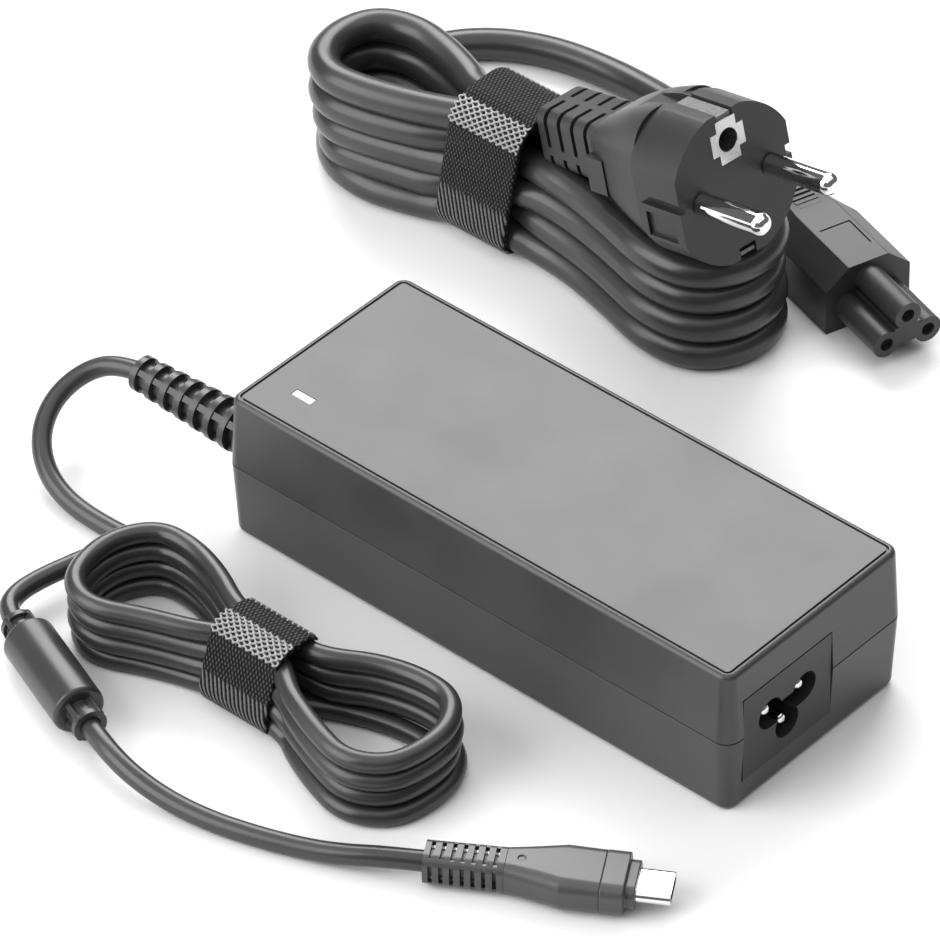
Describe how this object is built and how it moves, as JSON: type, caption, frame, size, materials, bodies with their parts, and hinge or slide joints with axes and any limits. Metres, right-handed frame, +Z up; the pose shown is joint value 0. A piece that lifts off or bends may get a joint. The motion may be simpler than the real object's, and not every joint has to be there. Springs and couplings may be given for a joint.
{
  "type": "laptop power adapter",
  "caption": "Flat rectangular power brick with a USB-C output cord, ferrite sleeve and tied hanks, and a detachable mains lead with a round two-pin earthed plug.",
  "frame": {"origin": "centre of the brick's underside", "axes": "+X along the brick towards the mains inlet, +Z up, +Y completes a right-handed frame"},
  "size_m": [0.2189, 0.2339, 0.0619],
  "materials": {
    "case_plastic": "fine spark-eroded satin texture",
    "inlet_plastic": "smooth satin",
    "plug_plastic": "satin moulded PVC",
    "cord_rubber": "satin PVC jacket",
    "hook_and_loop": "woven nylon with a napped loop face",
    "contact_metal": "polished nickel plate",
    "led_lens": "translucent diffuser",
    "board": "glass-epoxy laminate",
    "ferrite": "sintered, matt",
    "winding_tape": "polyester tape",
    "capacitor_sleeve": "shrink sleeve",
    "copper": "enamelled wire",
    "component_case": "moulded epoxy",
    "chip": "moulded epoxy",
    "heat_sink": "rolled sheet",
    "wire": "PVC sleeve"
  },
  "bodies": {
    "adapter": {"top_cover": "case_plastic", "bottom_cover": "case_plastic", "led_window": "led_lens", "status_led": "led_lens", "inlet_housing": "inlet_plastic", "inlet_pins": "contact_metal", "circuit_board": "board", "board_posts": "case_plastic", "insulating_sheet": "board", "transformer_core": "ferrite", "transformer_winding": "winding_tape", "bulk_capacitor": "capacitor_sleeve", "output_capacitors": "capacitor_sleeve", "choke_core": "ferrite", "choke_windings": "copper", "x_capacitor": "component_case", "y_capacitors": "component_case", "fuse": "component_case", "bridge_rectifier": "chip", "primary_heat_sink": "heat_sink", "secondary_heat_sink": "heat_sink", "switching_transistor": "chip", "output_rectifier": "chip", "control_chip": "chip", "ac_inner_leads": "wire", "dc_inner_leads": "wire", "dc_strain_relief": "cord_rubber", "dc_cord_lead": "cord_rubber", "dc_cord_hank": "cord_rubber", "dc_cord_tie": "hook_and_loop", "dc_cord_tail": "cord_rubber", "ferrite_core": "ferrite", "ferrite_sleeve": "cord_rubber", "dc_cord_through": "cord_rubber", "dc_cord_end": "cord_rubber", "dc_plug_boot": "cord_rubber", "dc_plug_body": "plug_plastic", "dc_plug_ring": "plug_plastic", "dc_plug_shell": "contact_metal", "dc_plug_contacts": "contact_metal"},
    "mains_lead": {"mains_plug_body": "plug_plastic", "mains_plug_boot": "plug_plastic", "mains_plug_pins": "contact_metal", "mains_plug_earth_clips": "contact_metal", "mains_plug_earth_plate": "contact_metal", "mains_cord_lead": "cord_rubber", "mains_cord_hank": "cord_rubber", "mains_cord_tie": "hook_and_loop", "mains_cord_tail": "cord_rubber", "mains_connector_body": "plug_plastic", "mains_connector_boot": "plug_plastic", "mains_connector_contacts": "contact_metal"}
  },
  "joints": [
    {"name": "mains_lead_lift", "type": "slide", "parent": "adapter", "child": "mains_lead", "axis": [0, 0, 1], "range_m": [0, 0.15]}
  ]
}
